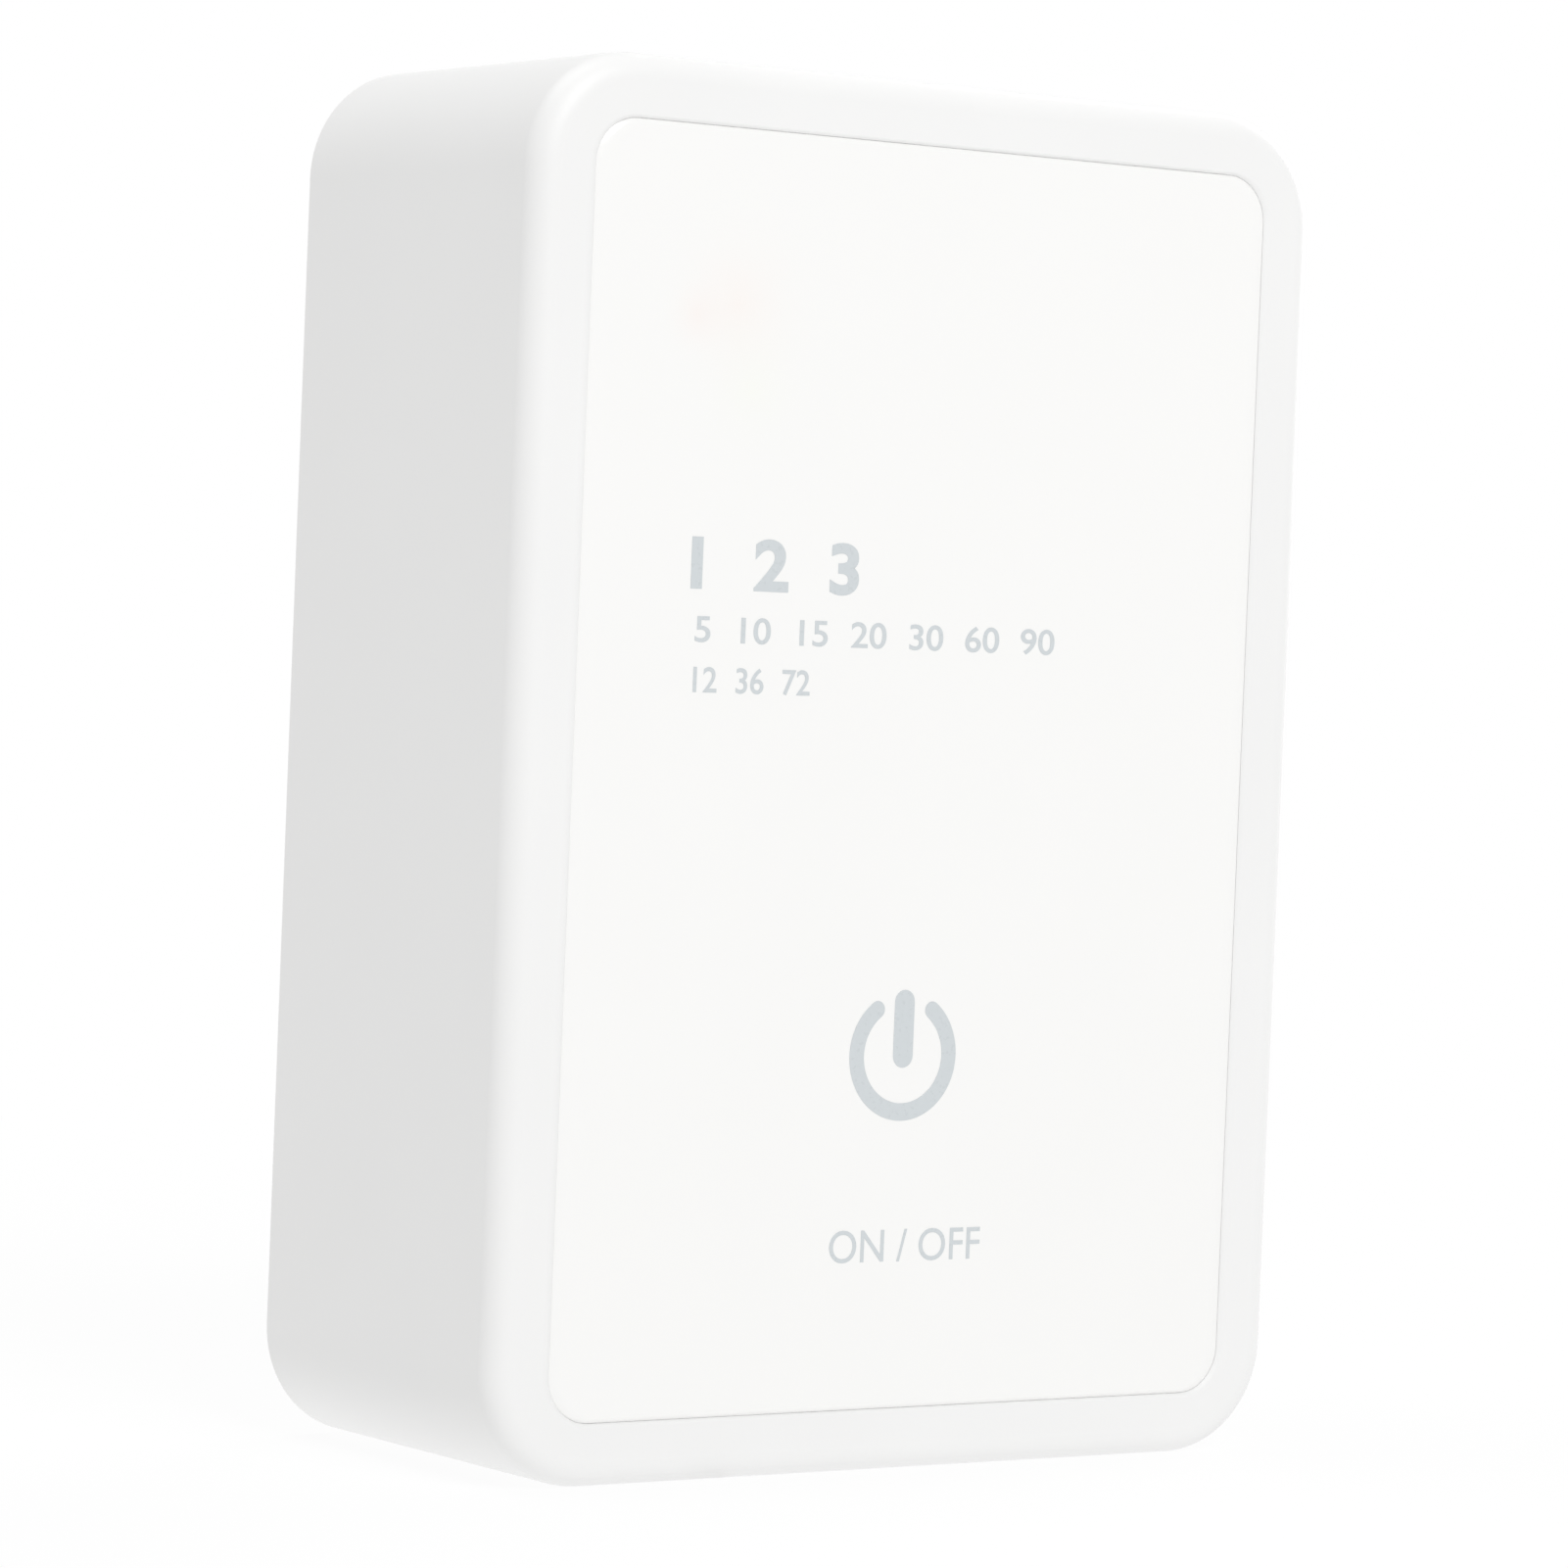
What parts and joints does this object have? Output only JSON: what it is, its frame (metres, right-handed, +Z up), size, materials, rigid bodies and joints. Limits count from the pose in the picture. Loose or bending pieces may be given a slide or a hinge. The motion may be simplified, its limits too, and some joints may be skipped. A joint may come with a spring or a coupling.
{
  "type": "smart drip irrigation controller",
  "caption": "Slim white wall-hung box with a flush clear touch panel, a small diaphragm pump inside and hose nozzles on its right side, for watering pot plants by drip hose.",
  "frame": {"origin": "middle of the flat underside, half way through the depth", "axes": "+Z up, front panel faces -Y, hose nozzles point along +X"},
  "size_m": [0.0869, 0.0356, 0.115],
  "materials": {
    "case_plastic": "satin moulded white",
    "panel_acrylic": "clear gloss over a white print",
    "adhesive_foam": "soft closed-cell foam",
    "screw_steel": "zinc plated",
    "grey_rubber": "matt",
    "pump_plastic": "natural moulded",
    "drive_plastic": "natural acetal",
    "valve_rubber": "matt",
    "shaft_steel": "ground",
    "spring_steel": "bright",
    "can_steel": "nickel plated",
    "contact_brass": "bright",
    "brush_copper": "worn",
    "winding_copper": "enamelled",
    "magnet_ceramic": "dark sintered",
    "core_steel": "laminated",
    "board_laminate": "solder mask",
    "chip_plastic": "moulded",
    "light_plastic": "clear",
    "capacitor_aluminium": "bright",
    "connector_plastic": "natural nylon",
    "cell_can": "shrink sleeve",
    "lead_plastic": "soft insulation"
  },
  "bodies": {
    "case": {"housing": "case_plastic", "front_panel": "panel_acrylic", "panel_tape": "adhesive_foam", "rear_cover": "case_plastic", "cover_screws": "screw_steel", "nozzle_grommets": "grey_rubber", "pump_head": "pump_plastic", "outlet_valve": "valve_rubber", "valve_plate": "pump_plastic", "inlet_valves": "valve_rubber", "diaphragm": "valve_rubber", "diaphragm_seat": "pump_plastic", "pump_base": "pump_plastic", "pump_clips": "spring_steel", "motor_can": "can_steel", "motor_end_cap": "drive_plastic", "motor_terminals": "contact_brass", "motor_magnets": "magnet_ceramic", "motor_bushes": "contact_brass", "motor_brushes": "brush_copper", "motor_screws": "screw_steel", "motor_cushion": "valve_rubber", "circuit_board": "board_laminate", "board_screws": "screw_steel", "wifi_module": "board_laminate", "module_shield": "can_steel", "usb_shell": "can_steel", "usb_tongue": "chip_plastic", "touch_contact": "adhesive_foam", "status_leds": "light_plastic", "light_shields": "adhesive_foam", "board_chips": "chip_plastic", "storage_capacitor": "capacitor_aluminium", "charge_inductor": "chip_plastic", "battery_connector": "connector_plastic", "motor_connector": "connector_plastic", "battery_cell": "cell_can", "battery_tabs": "spring_steel", "battery_pads": "adhesive_foam", "battery_leads": "lead_plastic", "motor_leads": "lead_plastic"},
    "rotor": {"motor_shaft": "shaft_steel", "armature_core": "core_steel", "armature_windings": "winding_copper", "commutator": "brush_copper", "eccentric_hub": "drive_plastic", "eccentric_pin": "shaft_steel"},
    "yoke": {"wobble_yoke": "drive_plastic"}
  },
  "joints": [
    {"name": "pump_spin", "type": "hinge", "parent": "case", "child": "rotor", "pos_m": [0, 0.0009, 0.01802], "axis": [1, 0, 0], "continuous": true},
    {"name": "yoke_wobble", "type": "hinge", "parent": "rotor", "child": "yoke", "pos_m": [0.0233, 0.0009, 0.01802], "axis": [0.9945, 0, -0.1045], "continuous": true, "deforming": ["diaphragm"]}
  ],
  "couplings": [
    {"joint": "yoke_wobble", "follows": "pump_spin", "ratio": -1}
  ]
}
